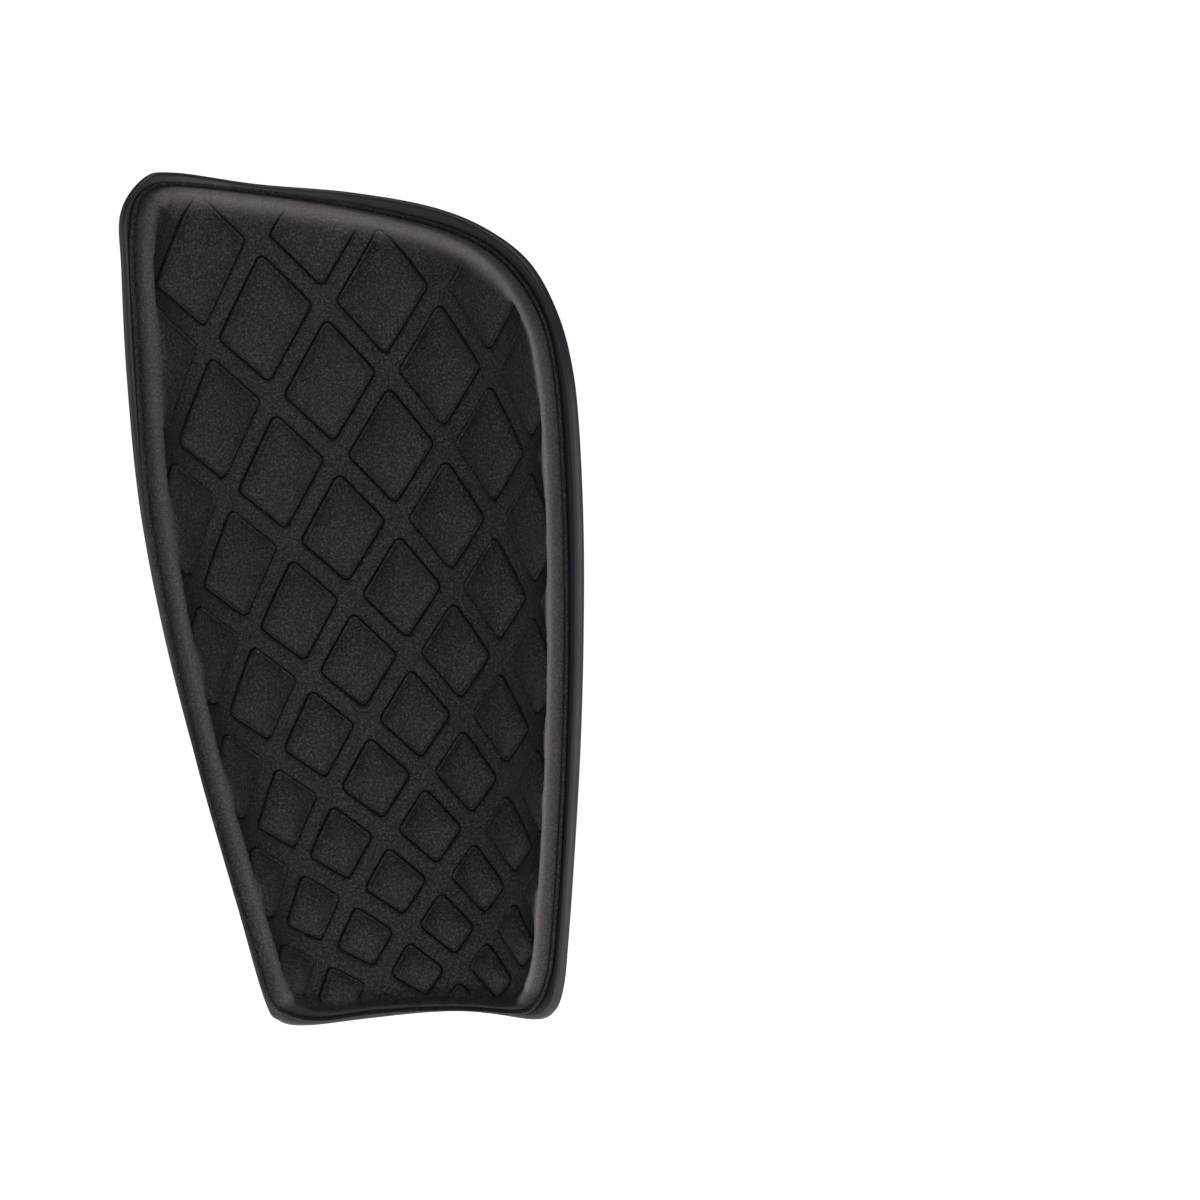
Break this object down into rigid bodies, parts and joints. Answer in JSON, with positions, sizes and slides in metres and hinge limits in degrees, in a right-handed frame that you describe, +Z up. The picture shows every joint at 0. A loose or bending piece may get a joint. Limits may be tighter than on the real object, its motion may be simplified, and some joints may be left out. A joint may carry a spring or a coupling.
{
  "type": "shin guard",
  "caption": "Slip-in shin guard for the left leg: a curved, tapering hard shell lined with moulded foam, whose raised diamond pads and grooves face the leg.",
  "frame": {"origin": "on the leg side of the liner, level with the top of the rim on the shin line, at half the guard's height", "axes": "+Z up towards the knee, -Y towards the leg, +X towards the inner (medial) side of a left leg; the shell's outer face looks along +Y"},
  "size_m": [0.1089, 0.0384, 0.1995],
  "materials": {
    "shell_plastic": "smooth satin-gloss black moulded plastic",
    "bond_adhesive": "thin translucent bonding film, hidden between shell and foam",
    "liner_foam": "matte charcoal closed-cell foam with a fine grain, compression moulded"
  },
  "bodies": {
    "root": {"outer_shell": "shell_plastic", "bond_film": "bond_adhesive", "foam_liner": "liner_foam"}
  },
  "joints": []
}
